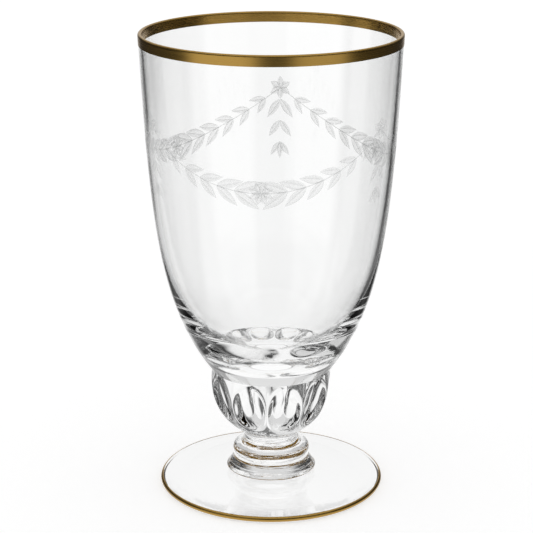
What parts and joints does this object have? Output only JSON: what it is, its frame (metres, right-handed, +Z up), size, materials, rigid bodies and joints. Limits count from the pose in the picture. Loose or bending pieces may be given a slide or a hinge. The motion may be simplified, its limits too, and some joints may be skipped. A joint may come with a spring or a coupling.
{
  "type": "footed beer glass",
  "caption": "Clear footed beer glass: a tall flared bowl with a gilt lip on a fluted knop, a short ringed stem and a round foot with a gilt edge.",
  "frame": {"origin": "middle of the foot's resting ring, on the table", "axes": "+Z up along the glass's axis of turning, X and Y level, X through the middle of one of the knop's hollows and Y along a rib between two"},
  "size_m": [0.0774, 0.0774, 0.1401],
  "materials": {
    "clear_glass": "fire-polished clear soda glass, with a matt wheel-engraved garland on the bowl",
    "gilding": "burnished fired gilding with fine brush lines round the rim"
  },
  "bodies": {
    "root": {"foot": "clear_glass", "foot_gilding": "gilding", "base_ring": "clear_glass", "bead_ring": "clear_glass", "neck": "clear_glass", "knop": "clear_glass", "bowl": "clear_glass", "lip_gilding": "gilding"}
  },
  "joints": []
}
